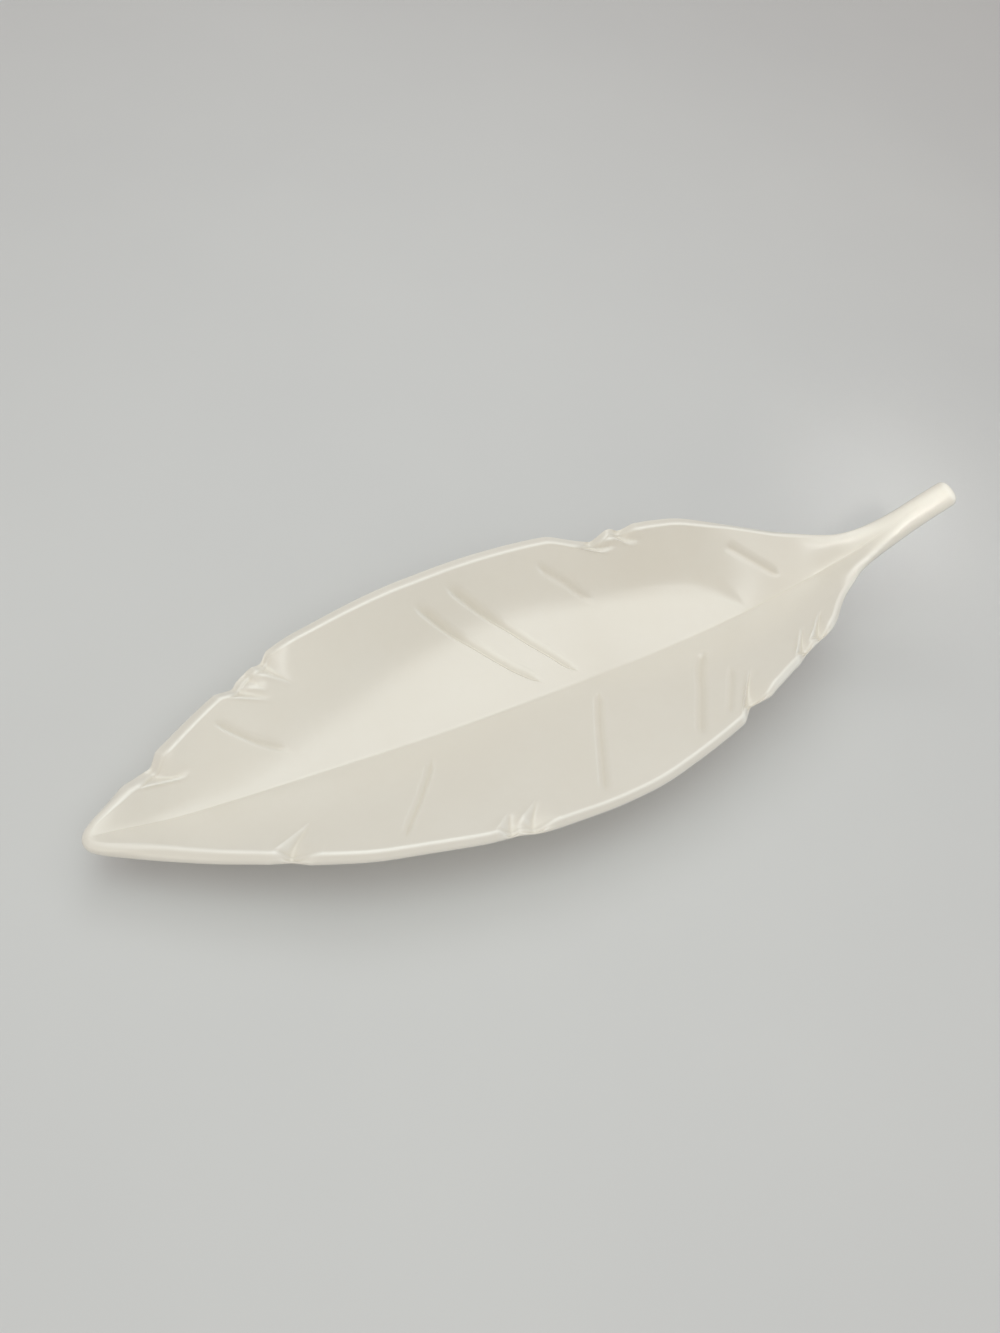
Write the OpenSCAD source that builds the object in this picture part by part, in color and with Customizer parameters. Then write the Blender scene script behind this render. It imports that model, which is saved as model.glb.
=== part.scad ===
// Leaf shaped serving dish in glazed ceramic: a thin pressed blade with a
// midrib crease and torn rim, a rolled stem that curls up, and an oval foot.
// The tip points to -X, the stem to +X, the flat-floored half lies on +Y.
// The dish stands on z = 0.

/* [Blade] */
// Length of the blade from tip to stem joint, in mm
blade_len = 296; // [270:1:320]
// Greatest width of the blade over the rim, in mm
blade_wid = 114.6; // [104:0.2:126]
// Thickness of the clay wall, in mm
wall = 4.4; // [4:0.1:4.8]
// Share of the depth of the tears in the rim
tear = 1.0; // [0:0.1:1.2]
/* [Stem] */
// Diameter of the round end of the stem, in mm
stem_d = 10; // [9.2:0.1:10.6]
// Upward tilt of the stem, in degrees
stem_tilt = 33; // [26:1:36]
/* [Foot] */
// Length of the oval foot, in mm
foot_len = 136; // [110:1:140]
// Width of the oval foot, in mm
foot_wid = 44; // [36:1:46]
// Width of the ground face of the foot, in mm
foot_wall = 5; // [4:0.2:6]

/* [Hidden] */

kx = blade_len / 296;          // stretch of the plan along the leaf
ky = blade_wid / 114.6;        // stretch of the plan across the leaf
rb = wall / 2;                 // radius of the rounded rim
tb = wall + 0.2;               // wall under the crease, measured upright
join_p = 300;                  // rim parameter of the stem joint
x_mid = 171.64 * kx;             // leaf station that sits over the origin
foot_x = 145;                  // station of the middle of the foot
foot_y = 2;                    // sideways place of the middle of the foot

// Outer edge: [parameter, station from the tip, half width]
EDGE = [[-3.5, 1, -3.3], [0, 0, 0], [3.5, 1, 3.3], [7.5, 4, 6.2], [12, 8, 8.7],
  [20, 16, 13.5], [36, 32, 22.4], [52, 48, 30.9], [68, 64, 38], [84, 80, 44.2],
  [104, 100, 49.5], [129, 125, 54.2], [154, 150, 56.8], [169, 165, 57.3],
  [184, 180, 56.6], [204, 200, 53.6], [224, 220, 48.9], [244, 240, 43],
  [259, 255, 36.6], [274, 270, 28.6], [289, 285, 19.8], [300, 296, 12.8], [308, 304, 8.9]];
// Height of the middle of the rim by station
RIM = [[0, 19.9], [30, 24], [75, 29.3], [125, 30.3], [175, 30], [205, 32.6], [225, 35.2],
  [245, 38], [260, 39], [280, 39.6], [290, 40.4], [300, 42.8], [305, 44.7], [310, 47],
  [315, 49.7], [320, 52.7], [325, 56], [330, 59.3], [341, 66.4]];
// Height of the crease by station
CREASE = [[0, 21.6], [15, 18.9], [30, 15.3], [50, 12.9], [75, 11], [100, 9.1], [130, 7.9],
  [160, 8.9], [190, 10.6], [210, 11.9], [230, 14.7], [250, 19], [265, 23.5], [280, 29.5],
  [290, 34.2], [300, 41.2]];
// Width of the flat floor on the far half by station, and softness of its edge
FLOOR = [[50, 0], [62, 2], [80, 11.5], [95, 18.5], [115, 28], [147, 35.5], [172, 37.5],
  [195, 34], [213, 31], [236, 25.6], [254, 14], [264, 2], [268, 0]];
SOFT = [[50, 0], [80, 8], [120, 9], [170, 7], [215, 4.5], [250, 3.5], [268, 0]];
floor_rise = 0.03;             // rise of the flat floor away from the crease
hollow = 0.15;                 // hollow of the near half
// Swellings of the edge between tears: [side, station, spread, height]
LOBES = [[1, 150, 400, -0.4], [1, 240, 11, 1.2], [1, 272, 22, -1], [-1, 48, 12, -1], [-1, 98, 26, -0.9],
  [-1, 140, 8, 0.4], [-1, 186, 10, 0.3], [-1, 243, 12, -1.5], [-1, 277, 9, 1.9]];
// Tears: [side, station, pull inward, dip, reach to the tip, reach to the stem, length]
TEARS = [[1, 26, 2.6, 1.6, 7, 4, 13], [1, 59.5, 2.4, 1.6, 4.5, 4, 10], [1, 65, 1.6, 0.9, 3, 3, 8],
  [1, 72, 2.2, 1.4, 5, 3.5, 11], [1, 209, 4.4, 2.6, 16, 8, 10], [1, 222.5, 1.8, 1.2, 4, 5, 9],
  [-1, 57.5, 1.2, 1.6, 4, 4, 16], [-1, 123, 0.8, 1.2, 3.5, 3, 9], [-1, 131, 1.4, 1.6, 4, 4, 12],
  [-1, 229, 3.8, 1.2, 7, 8, 18], [-1, 258, 1.9, 1.2, 5, 4, 14], [-1, 267, 1.2, 1.2, 3.5, 4, 15]];
// Stem sections: [station, half spacing of the lips, lip radius, channel height,
// underside height, lean of the lips, lean of the underside]
STEM = [[296, 10.6, 2.2, -3.2, -7.8, 28, 27], [300, 7.6, 2.7, -1.6, -6.6, 33, 24],
  [305, 4.9, 3.4, 0.3, -5.8, 38, 21], [310, 2.9, 4.15, 2.6, -5.2, 32, 14],
  [316, 1.3, 4.75, 4.5, -4.9, 12, 6], [322, 0.6, 5, 5, -5, 4, 1], [341, 0.5, 4.8, 4.8, -4.8, 3, 1]];
stem_end = 339.4;

// ---- curves -------------------------------------------------------------
function seg(K, x, i = 0) = (i >= len(K) - 2 || x < K[i + 1][0]) ? i : seg(K, x, i + 1);
function rate(K, i, c) = (K[i + 1][c] - K[i][c]) / (K[i + 1][0] - K[i][0]);
function tang(K, i, c) = i == 0 ? rate(K, 0, c) : i == len(K) - 1 ? rate(K, i - 1, c) :
  let (a = K[i][0] - K[i - 1][0], b = K[i + 1][0] - K[i][0]) (rate(K, i - 1, c) * b + rate(K, i, c) * a) / (a + b);
// Smooth curve through the rows of K, column c against column 0
function curve(K, x, c = 1) =
  let (n = len(K), v = min(max(x, K[0][0]), K[n - 1][0]), i = seg(K, v), h = K[i + 1][0] - K[i][0], t = (v - K[i][0]) / h)
  K[i][c] * (1 + 2 * t) * (1 - t) * (1 - t) + tang(K, i, c) * h * t * (1 - t) * (1 - t)
  + K[i + 1][c] * t * t * (3 - 2 * t) + tang(K, i + 1, c) * h * t * t * (t - 1);
function ease(a, b, x) = let (t = min(max((x - a) / (b - a), 0), 1)) t * t * (3 - 2 * t);
function ramp(u, k) = (u + sqrt(u * u + k * k)) / 2;
function table(K, a, b, st) = [for (x = [a:st:b]) [x, curve(K, x)]];
function total(v, i = 0) = i >= len(v) ? 0 : v[i] + total(v, i + 1);

// ---- rim ----------------------------------------------------------------
function lobe(x, side) = total([for (l = LOBES) if (l[0] == side) l[3] * exp(-pow((x - l[1]) / l[2], 2))]);
function edge(p, side) = let (x = curve(EDGE, p, 1)) [x, curve(EDGE, p, 2) + lobe(x, side)];
function notch(u, a, b) = u < 0 ? pow(max(0, 1 + u / a), 1.5) : pow(max(0, 1 - u / b), 1.5);
function tears(x, side, c) = tear * total([for (t = TEARS) if (t[0] == side) t[c] * notch(x - t[1], t[4], t[5])]);
function reach(x, side) = max([for (t = TEARS) t[0] == side && notch(x - t[1], t[4], t[5]) > 0 ? t[6] : 1]);
// Middle of the rim in plan and its outward direction
function rim(p, side) =
  let (a = edge(max(p - 0.1, 0), side), b = edge(p + 0.1, side), d = p < 0.1 ? [0, 1] : b - a,
    s = d[1] * (1 - ease(join_p - 14, join_p, p)), o = [-s, d[0]] / norm([s, d[0]]))
  [edge(p, side) - rb * o, o];
RIM_T = table(RIM, 0, 304, 2);
CREASE_T = table(CREASE, 0, 304, 2);
FLOOR_T = [for (x = [0:2:304]) [x, x > 50 && x < 268 ? max(curve(FLOOR, x), 0) : 0]];
SOFT_T = [for (x = [0:2:304]) [x, x > 50 && x < 268 ? max(curve(SOFT, x), 0) : 0]];
HALF_F = [for (p = [0:1:307]) let (r = rim(p, 1)) r[0]];
HALF_N = [for (p = [0:1:307]) let (r = rim(p, -1)) r[0]];
function half(x, side) = lookup(x, side > 0 ? HALF_F : HALF_N);
function bow(x) = hollow * (1 - ease(262, 296, x));
// Lean of the wall where it meets the rim, in degrees
function lean_of(x, side, th, n) = n == 0 ? th :
  let (ye = max(half(x, side) - rb * sin(th), 0.6), ze = lookup(x, RIM_T) + rb * cos(th), c = lookup(x, CREASE_T),
    k = lookup(x, SOFT_T), f = min(lookup(x, FLOOR_T), 0.8 * ye),
    m = side < 0 ? (ze - c) / ye * (1 + bow(x))
      : let (g = (ze - c - floor_rise * ye) / (ramp(ye - f, k) - ramp(-f, k)))
        floor_rise + g * 0.5 * (1 + (ye - f) / sqrt((ye - f) * (ye - f) + k * k)))
  lean_of(x, side, min(max(atan(m), -10), 54), n - 1);
LEAN_F = [for (x = [0:2:304]) [x, let (e = ease(0, 18, x)) lean_of(max(x, 4), 1, 26, 4) * e + 7 * (1 - e)]];
LEAN_N = [for (x = [0:2:304]) [x, let (e = ease(0, 18, x)) lean_of(max(x, 4), -1, 26, 4) * e + 7 * (1 - e)]];
function lean(x, side) = lookup(x, side > 0 ? LEAN_F : LEAN_N);
// Height of the top face (s = -1) or the under face (s = 1) over a plan point
function face_z(x, ay, side, s) =
  let (th = lean(x, side), ye = max(half(x, side) + s * rb * sin(th), 0.6), ze = lookup(x, RIM_T) - s * rb * cos(th),
    c = lookup(x, CREASE_T) - (s > 0 ? tb : 0), b = bow(x), q = ay / ye, k = lookup(x, SOFT_T),
    f = min(lookup(x, FLOOR_T) + (s > 0 ? 1.2 * ease(50, 90, x) * (1 - ease(240, 268, x)) : 0), 0.8 * ye),
    g = (ze - c - floor_rise * ye) / (ramp(ye - f, k) - ramp(-f, k)))
  side < 0 ? c + (ze - c) * ((1 - b) * q + b * q * q)
    : c + floor_rise * ay + g * (ramp(ay - f, k) - ramp(-f, k));
function slant(x, side) = (side > 0 ? 0.85 : 0.7) * (1 - ease(150, 296, x));

// ---- lattice: lines run from the crease out along the veins to the rim ---
Q_TOP = [0.14, 0.32, 0.5, 0.68, 0.82, 0.92, 1];
PHI = [36, 72, 108, 144];
Q_BOT = [1, 0.92, 0.8, 0.64, 0.47, 0.3, 0.14];
// One half of a line, from the crease over the top, round the rim and back
function half_line(p, side) =
  let (r = rim(p, side), x = r[0][0], y = r[0][1], o = r[1], th = lean(x, side), z = lookup(x, RIM_T),
    s = x + slant(x, side) * y, e = r[0] - rb * sin(th) * o, u = r[0] + rb * sin(th) * o,
    pull = tears(x, side, 2), dip = tears(x, side, 3), far = reach(x, side),
    len_e = max(norm([e[0] - s, e[1]]), 0.5), dir = [s - e[0], -e[1]] / len_e,
    ez = z + rb * cos(th) - face_z(e[0], e[1], side, -1), uz = z - rb * cos(th) - face_z(u[0], u[1], side, 1))
  concat(
    [for (q = Q_TOP) let (g = [s + q * (e[0] - s), q * e[1]], w = pow(max(0, 1 - (1 - q) * len_e / far), 1.5), h = g + pull * w * dir)
      [h[0], h[1], face_z(g[0], g[1], side, -1) + pow(q, 6) * ez - dip * w]],
    [for (f = PHI) let (a = rb * (sin(f) * cos(th) - cos(f) * sin(th)), b = rb * (cos(f) * cos(th) + sin(f) * sin(th)), h = r[0] + a * o + pull * dir)
      [h[0], h[1], z + b - dip]],
    [for (q = Q_BOT) let (g = [s + q * (u[0] - s), q * u[1]], w = pow(max(0, 1 - (1 - q) * len_e / far), 1.5), h = g + pull * w * dir)
      [h[0], h[1], face_z(g[0], g[1], side, 1) + pow(q, 6) * uz - dip * w]]);
NH = len(Q_TOP) + len(PHI) + len(Q_BOT);
NL = 2 * NH + 2;
// The spine point under a line is shared by both halves
function spine(p) = let (r = rim(p, 1)) r[0][0] + 0.775 * (1 - ease(150, 296, r[0][0])) * r[0][1];
function put(v, side) = [v[0] * kx - x_mid, side * v[1] * ky, v[2]];
function loop(p) =
  let (s = spine(p), c = lookup(min(s, 304), CREASE_T))
  concat([put([s, 0, c], 1)], [for (v = half_line(p, 1)) put(v, 1)], [put([s, 0, c - tb], 1)],
    [let (h = half_line(p, -1)) for (i = [NH - 1:-1:0]) put(h[i], -1)]);

// Rim parameters of the lines: even steps, with more lines at each tear
EVEN = concat([2, 4.5, 7.5, 11, 15, 19.5, 24], [for (p = [30:6.75:293.25]) p], [join_p]);
AT_TEARS = [for (t = TEARS) for (d = [-0.6 * t[4], 0, 0.6 * t[5]]) t[1] + 4 + d];
function clear_of(p, L) = len([for (v = L) if (abs(v - p) < 1.6) 1]) == 0;
function sorted(L) = len(L) < 2 ? L : let (m = L[floor(len(L) / 2)])
  concat(sorted([for (v = L) if (v < m) v]), [m], sorted([for (v = L) if (v > m) v]));
LINES = sorted(concat(AT_TEARS, [for (p = EVEN) if (clear_of(p, AT_TEARS)) p]));
LOOPS = [for (p = LINES) loop(p)];
// Round of the nose, from the top face to the under face
nose_z = RIM_T[0][1];
NOSE = [for (f = concat([0], PHI, [180])) let (a = rb * (sin(f) * cos(7) - cos(f) * sin(7)), b = rb * (cos(f) * cos(7) + sin(f) * sin(7)))
  [(rb - a) * kx - x_mid, 0, nose_z + b]];
// Place on the nose that each point of the first line joins to
function nose_of(j) = let (i = j <= NH ? j : NL - j, k = i - len(Q_TOP)) j == 0 || k <= 0 ? 0 : k > len(PHI) ? len(PHI) + 1 : k;
function real(t) = t[0] != t[1] && t[1] != t[2] && t[0] != t[2];
function skin(n, m, at) = [for (i = [0:n - 2], j = [0:m - 1]) for (t = [
  [at + i * m + j, at + i * m + (j + 1) % m, at + (i + 1) * m + (j + 1) % m],
  [at + i * m + j, at + (i + 1) * m + (j + 1) % m, at + (i + 1) * m + j]]) t];
function flat_list(L) = [for (a = L) for (b = a) b];
// Flat end of a skin: strips between the top face and the under face
function other(j) = (NL - j) % NL;
function cap(at) = [for (j = [0:NH / 2 - 1]) for (t = [
  [at + j, at + j + 1, at + NH - j], [at + j, at + NH - j, at + NH + 1 - j],
  [at + other(j + 1), at + other(j), at + other(NH - j)], [at + other(NH - j), at + other(j), at + other(NH + 1 - j)]]) t];
function turned(L) = [for (t = L) [t[2], t[1], t[0]]];

module leaf_blade() {
  n = len(LOOPS);
  k = len(NOSE);
  pts = concat(NOSE, flat_list(LOOPS));
  nose = [for (j = [0:NL - 1]) for (t = [
    [nose_of(j), nose_of((j + 1) % NL), k + (j + 1) % NL], [nose_of(j), k + (j + 1) % NL, k + j]]) if (real(t)) t];
  color([0.93, 0.92, 0.88]) polyhedron(pts, concat(nose, skin(n, NL, k), cap(k + (n - 1) * NL)));
}

// ---- stem ---------------------------------------------------------------
ks = stem_d / 10;
// Section of the stem: shrink and push shape the rounded end
function stem_loop(u, shrink = 1, push = 0) =
  let (w = curve(STEM, u, 1), r = curve(STEM, u, 2), c = curve(STEM, u, 3), b = curve(STEM, u, 4),
    th = curve(STEM, u, 5), tu = curve(STEM, u, 6), f = stem_tilt * ease(296, 318, u),
    g = shrink * (1 + (ks - 1) * ease(300, 320, u)), z0 = curve(RIM, u),
    h = concat(
      [for (q = Q_TOP) [q * (w - r * sin(th)), c + q * (r * cos(th) - c)]],
      [for (a = PHI) let (t = -th + (180 + th - tu) * a / 180) [w + r * sin(t), r * cos(t)]],
      [for (q = Q_BOT) [q * (w + r * sin(tu)), b + q * (-r * cos(tu) - b)]]),
    all = concat([[0, c]], h, [[0, b]], [for (i = [NH - 1:-1:0]) [-h[i][0], h[i][1]]]))
  [for (v = all) [(u + push * cos(f) - g * v[1] * sin(f)) * kx - x_mid, g * v[0] * ky, z0 + push * sin(f) + g * v[1] * cos(f)]];

module stem() {
  rows = concat([loop(join_p)], [for (u = [298.5, 301, 304, 307, 310, 313, 316, 320, 325, 330, 335]) stem_loop(u)],
    [for (a = [[1, 0], [0.94, 1.1], [0.82, 2], [0.6, 2.7]]) stem_loop(stem_end, a[0], a[1])]);
  n = len(rows);
  pts = flat_list(rows);
  color([0.94, 0.93, 0.9]) polyhedron(pts, concat(turned(cap(0)), skin(n, NL, 0), cap((n - 1) * NL)));
}

// ---- foot ---------------------------------------------------------------
// Everything above the under face of the blade, so that the foot meets it
module above_blade() {
  cut = [for (i = [0:len(LINES) - 1]) if (LINES[i] > 40 && LINES[i] < 236) i];
  cols = [for (j = [NH - 4:NH + 6]) j];
  n = len(cut);
  m = len(cols);
  low = [for (i = cut) for (j = cols) LOOPS[i][j]];
  high = [for (v = low) [v[0], v[1], 60]];
  t = n * m;
  sheet = [for (i = [0:n - 2], j = [0:m - 2]) for (f = [[i * m + j, i * m + j + 1, (i + 1) * m + j + 1], [i * m + j, (i + 1) * m + j + 1, (i + 1) * m + j]]) f];
  rim_way = concat([for (j = [0:m - 1]) j], [for (i = [1:n - 1]) i * m + m - 1], [for (j = [m - 2:-1:0]) (n - 1) * m + j], [for (i = [n - 2:-1:1]) i * m]);
  c = len(rim_way);
  sides = [for (i = [0:c - 1]) for (f = [[rim_way[i], t + rim_way[(i + 1) % c], rim_way[(i + 1) % c]], [rim_way[i], t + rim_way[i], t + rim_way[(i + 1) % c]]]) f];
  polyhedron(concat(low, high), concat(sheet, [for (f = sheet) [t + f[2], t + f[1], t + f[0]]], sides));
}

function oval(a, b) = [for (i = [0:71]) [a * cos(5 * i), b * sin(5 * i)]];

module foot_ring() {
  color([0.83, 0.8, 0.74]) difference() {
    translate([foot_x * kx - x_mid, foot_y, 0]) linear_extrude(height = 20) difference() {
      polygon(oval(foot_len / 2, foot_wid / 2));
      polygon(oval(foot_len / 2 - foot_wall, foot_wid / 2 - foot_wall));
    }
    above_blade();
  }
}

leaf_blade();
stem();
foot_ring();
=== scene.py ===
"""A leaf shaped plate: the glazed blade, its stem and its foot, on a plain pale floor."""

import bpy
import numpy as np
from mathutils import Matrix, Vector


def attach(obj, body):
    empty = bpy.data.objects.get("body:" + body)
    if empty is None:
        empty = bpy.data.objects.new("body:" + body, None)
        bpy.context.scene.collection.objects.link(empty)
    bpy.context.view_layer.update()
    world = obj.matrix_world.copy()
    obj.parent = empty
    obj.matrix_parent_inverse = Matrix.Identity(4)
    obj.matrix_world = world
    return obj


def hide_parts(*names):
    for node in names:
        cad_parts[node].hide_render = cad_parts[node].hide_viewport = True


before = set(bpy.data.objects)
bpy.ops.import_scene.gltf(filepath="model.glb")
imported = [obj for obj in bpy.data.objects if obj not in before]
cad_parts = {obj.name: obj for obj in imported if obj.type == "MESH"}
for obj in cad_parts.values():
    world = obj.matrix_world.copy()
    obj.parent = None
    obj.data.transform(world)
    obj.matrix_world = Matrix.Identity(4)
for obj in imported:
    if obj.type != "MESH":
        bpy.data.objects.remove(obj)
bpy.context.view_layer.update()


# ---------------------------------------------------------------- small functions
def curve(knots, x, col=1):
    """Smooth curve through given knots (x, value, ...), held level outside them."""
    K = np.asarray(knots, float)
    X, V = K[:, 0], K[:, col]
    h, d = np.diff(X), np.diff(V) / np.diff(X)
    T = np.empty(len(X))
    T[1:-1] = (d[:-1] * h[1:] + d[1:] * h[:-1]) / (h[:-1] + h[1:])
    T[0], T[-1] = d[0], d[-1]
    x = np.clip(np.asarray(x, float), X[0], X[-1])
    i = np.clip(np.searchsorted(X, x, side="right") - 1, 0, len(X) - 2)
    t = (x - X[i]) / h[i]
    return (V[i] * (1 + 2 * t) * (1 - t) ** 2 + T[i] * h[i] * t * (1 - t) ** 2
            + V[i + 1] * t * t * (3 - 2 * t) + T[i + 1] * h[i] * t * t * (t - 1))


def ease(a, b, x):
    t = np.clip((np.asarray(x, float) - a) / (b - a), 0, 1)
    return t * t * (3 - 2 * t)


def ramp(u, k):
    return (u + np.sqrt(u * u + k * k)) / 2


# ---------------------------------------------------------------- the leaf, in mm from its tip, far half at +y
EDGE = [(-3.5, 1, -3.0), (0, 0, 0), (3.5, 1, 3.0), (7.5, 4, 5.8), (12, 8, 8.5), (20, 16, 13.5), (36, 32, 22.4), (52, 48, 30.9), (68, 64, 38), (84, 80, 44.2), (104, 100, 49.5), (129, 125, 54.2), (154, 150, 56.8), (169, 165, 57.3), (184, 180, 56.6), (204, 200, 53.6), (224, 220, 48.9), (244, 240, 43), (259, 255, 36.6), (274, 270, 28.6), (289, 285, 19.5), (300, 296, 12.5), (304, 300, 10.2), (308, 304, 8.7)]
RIM = [(0, 19.9), (30, 24), (75, 29.3), (125, 30.3), (175, 30), (205, 32.6), (225, 35.2), (245, 38), (260, 39), (280, 39.6), (290, 40.4), (300, 42.8), (305, 44.7), (310, 47), (315, 49.7), (320, 52.7), (325, 56), (330, 59.3), (341, 66.4)]
CREASE = [(0, 21.6), (15, 18.9), (30, 15.3), (50, 12.9), (75, 11), (100, 9.1), (130, 7.9), (160, 8.9), (190, 10.6), (210, 11.9), (230, 14.7), (250, 19), (265, 23.5), (280, 29.5), (290, 34.2), (300, 41.2)]
FLOOR = [(8, 0), (20, 1.4), (35, 2.4), (50, 3.6), (62, 5.8), (80, 12.5), (95, 19), (115, 28), (147, 35.5), (172, 36.6), (195, 32.5), (213, 29.8), (228, 26.6), (241, 21.5), (250, 16), (256, 9.8), (259.5, 4.5), (262.5, -1), (266, -7), (272, -13), (284, -18)]
SOFT = [(8, 1), (35, 3), (50, 4.5), (80, 8.5), (120, 9), (170, 6.5), (215, 5), (245, 5), (264, 4.5)]
LIP = [(0, 3), (15, 3.05), (40, 2.75), (80, 2.5), (150, 2.45), (200, 2.4), (260, 2.25), (296, 2.2)]
LOBES = [(1, 150, 400, -0.4), (1, 240, 9, 1.0), (1, 272, 22, -1), (1, 82, 8, 0.5), (1, 138, 11, -0.3), (1, 232, 10, -0.4), (1, 239, 4, -0.3), (1, 249, 6, 0.35), (-1, 20, 15, -0.4), (-1, 48, 12, -1), (-1, 68, 10, -0.3), (-1, 252, 5, -0.4), (-1, 98, 26, -0.9), (-1, 140, 8, 0.4), (-1, 186, 10, 0.3), (-1, 243, 12, -1.5), (-1, 279, 9, 2.4)]
# where the rim is drawn in: side, place on the rim, inner end, reach along the rim to the tip and to the stem, amount
PULLS = [
    (1, 25.5, (37, 11.2), 9.5, 4.2, 2.9),
    (1, 59.5, (71, 27.2), 5.5, 4.5, 2.7),
    (1, 65.0, (70.5, 30.3), 3.0, 3.0, 1.4),
    (1, 71.5, (80, 32), 5.0, 3.5, 2.2),
    (1, 211.5, (218, 41), 20.0, 7.0, 5.6),
    (1, 222.5, (227.6, 39.1), 4.5, 5.0, 2.5),
    (-1, 57.0, (69, -22), 6.5, 4.5, 1.1),
    (-1, 128.0, (135, -44), 9.0, 7.0, 0.8),
    (-1, 230.5, (240, -28), 7.0, 6.5, 3.6),
    (-1, 261.0, (268, -21.5), 7.0, 7.0, 1.3),
    (-1, 269.0, (278, -17.3), 4.0, 4.0, 0.4),
]
# tears pressed into the top: side, place on the rim, inner end, run of the steep face on the stem side, run of the slope back up, depth, height of the ridge
TEARS = [
    (1, 20.5, (37.8, 12.3), 2.6, 7.0, 2.2, 0.6),
    (1, 57.5, (72.5, 27.9), 2.0, 4.0, 1.6, 0.5),
    (1, 62.5, (71.2, 31.2), 1.8, 4.0, 1.4, 0.4),
    (1, 68.5, (80.2, 31.6), 2.5, 7.0, 2.4, 0.6),
    (1, 206.0, (221.4, 41.4), 2.6, 4.6, 2.2, 0.5),
    (1, 217.0, (229.3, 40.0), 2.6, 6.2, 2.2, 0.5),
    (-1, 53.0, (68.3, -22.1), 2.4, 6.0, 2.3, 0.8),
    (-1, 122.5, (129, -45.8), 2.0, 4.8, 1.9, 0.7),
    (-1, 129.5, (139.8, -45), 2.3, 6.2, 2.2, 0.8),
    (-1, 226.5, (240, -27.8), 2.8, 6.8, 2.8, 0.9),
    (-1, 257.0, (267.2, -21.4), 2.3, 5.2, 2.2, 0.8),
    (-1, 266.5, (278, -18.0), 2.3, 6.0, 2.2, 0.8),
]
# side, line from the rim to the inner end, width of the tip flank and of the stem flank, depth, fade at the rim end and at the inner end
VEINS = [
    (1, [(50, 24.5), (52.5, 22.3), (57.5, 18.6), (63, 15), (69.5, 11.9), (74, 10)], 0.9, 3.0, 0.80, 5, 6),
    (1, [(132.5, 45.8), (137.5, 42.5), (143, 38.2), (152.5, 29.6), (158.5, 21.7), (164, 14.3), (170, 7.7), (172.5, 5.2)], 1.1, 3.6, 1.35, 9, 7),
    (1, [(147, 49), (152.5, 45.2), (162, 37.8), (169, 31), (174.5, 23), (180, 15.2), (185, 7.4), (188, 4.6)], 1.1, 3.8, 1.45, 9, 7),
    (1, [(186, 47.5), (189, 44.2), (197, 38), (205, 31), (208, 29)], 1.0, 2.8, 0.90, 5, 5),
    (1, [(259, 24.6), (265.5, 17.1), (272, 10.2), (277, 5)], 1.1, 2.8, 0.95, 4, 4),
    (-1, [(92, -41.7), (96, -36.7), (100, -32.2), (105, -26.8), (109, -21.9), (112.5, -17.7), (118, -10)], 2.0, 1.8, 0.90, 8, 5),
    (-1, [(162.5, -52), (173, -34), (180, -21.9), (189, -7.4)], 2.0, 2.8, 1.05, 8, 5),
    (-1, [(205, -46.6), (211.5, -37.3), (219.5, -26.8), (229, -14.1), (232, -11.4), (235, -11)], 2.0, 3.0, 1.15, 7, 5),
    (-1, [(218.5, -43.4), (227.2, -32.9), (236.5, -21.2)], 1.6, 2.2, 0.75, 6, 6),
]
XJ, PJ, X_MID = 296.0, 300.0, 171.64
RISE, HOLLOW, WALL = 0.03, -0.04, 4.6
SLANT = {1: 0.85, -1: 0.70}


def lip(x):
    return curve(LIP, x)


def rim_z(x):
    return curve(RIM, x)


NOSE_UP = rim_z(3.0) + 3.0 - curve(CREASE, 3.0)


def crease_z(x):
    return curve(CREASE, x) + NOSE_UP * (1 - ease(3, 26, x))


def wall_at(x):
    return WALL + (2 * 3.0 - WALL) * (1 - ease(3, 30, x))


def floor_w(x):
    x = np.asarray(x, float)
    return np.where(x < 200, np.maximum(curve(FLOOR, x), 0), curve(FLOOR, x)) * (x > 8)


def soft_k(x):
    return np.maximum(curve(SOFT, x), 0)


def slant(x, side):
    return SLANT[side] * (1 - ease(150, XJ, x))


PP = np.linspace(0, PJ, 6001)
TAB = {}
for side in (1, -1):
    X = curve(EDGE, PP, 1)
    W = curve(EDGE, PP, 2)
    for sd, x0, spread, h in LOBES:
        if sd == side:
            W = W + h * np.exp(-((X - x0) / spread) ** 2) * (1 - ease(278, XJ, X)) * ease(0, 14, X)
    dX, dW = np.gradient(X, PP), np.gradient(W, PP)
    dW = dW * (1 - ease(PJ - 14, PJ, PP))
    L = np.hypot(dX, dW)
    ox, oy = -dW / L, dX / L
    ox[0], oy[0] = -1.0, 0.0
    r = lip(X)
    rx, ry = X - r * ox, W - r * oy
    ry[0] = 0.0
    TAB[side] = dict(edge=X, x=rx, y=ry, ox=ox, oy=oy, s=rx + slant(rx, side) * ry)


def half(x, side):
    return np.interp(x, TAB[side]["x"], TAB[side]["y"])


def bow(x):
    return HOLLOW * (1 - ease(262, XJ, x))


def lean_table(side):
    x = np.linspace(0, 304, 1521)
    Wd, C, Rz, r = half(x, side), crease_z(x), rim_z(x), lip(x)
    th = np.full(x.shape, 0.45)
    for _ in range(4):
        ye = np.maximum(Wd - r * np.sin(th), 0.6)
        ze = Rz + r * np.cos(th)
        if side < 0:
            m = (ze - C) / ye * (1 + bow(x))
        else:
            f, k = np.minimum(floor_w(x), 0.8 * ye), soft_k(x)
            A = (ze - C - RISE * ye) / (ramp(ye - f, k) - ramp(-f, k))
            m = RISE + A * 0.5 * (1 + (ye - f) / np.sqrt((ye - f) ** 2 + k * k + 1e-9))
        th = np.clip(np.arctan(m), -0.17, 0.94)
    return x, th * ease(3, 20, x)


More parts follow.
